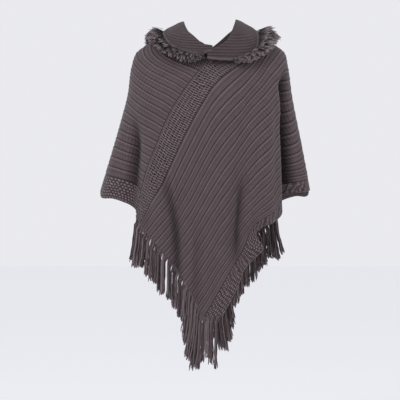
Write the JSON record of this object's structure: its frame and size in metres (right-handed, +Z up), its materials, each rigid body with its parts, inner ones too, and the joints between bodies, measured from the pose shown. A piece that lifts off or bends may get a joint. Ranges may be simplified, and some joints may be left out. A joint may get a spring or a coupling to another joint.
{
  "type": "hooded knitted poncho",
  "caption": "Ribbed knit poncho with fringed diagonal ends, patterned bands and a fur-trimmed hood worn down on the back.",
  "frame": {"origin": "middle of the neck, on the wearer's shoulder line", "axes": "+X to the wearer's left, -Y to the front, +Z up"},
  "size_m": [0.6287, 0.4071, 1.0372],
  "materials": {
    "knit": "ribbed wool-blend knit",
    "fur": "long-pile faux fur",
    "yarn": "loose yarn fringe"
  },
  "bodies": {
    "root": {"left_panel": "knit", "right_panel": "knit", "hood_left": "knit", "hood_right": "knit", "fur_trim_left": "fur", "fur_trim_right": "fur", "front_fringe": "yarn", "back_fringe": "yarn"}
  },
  "joints": []
}
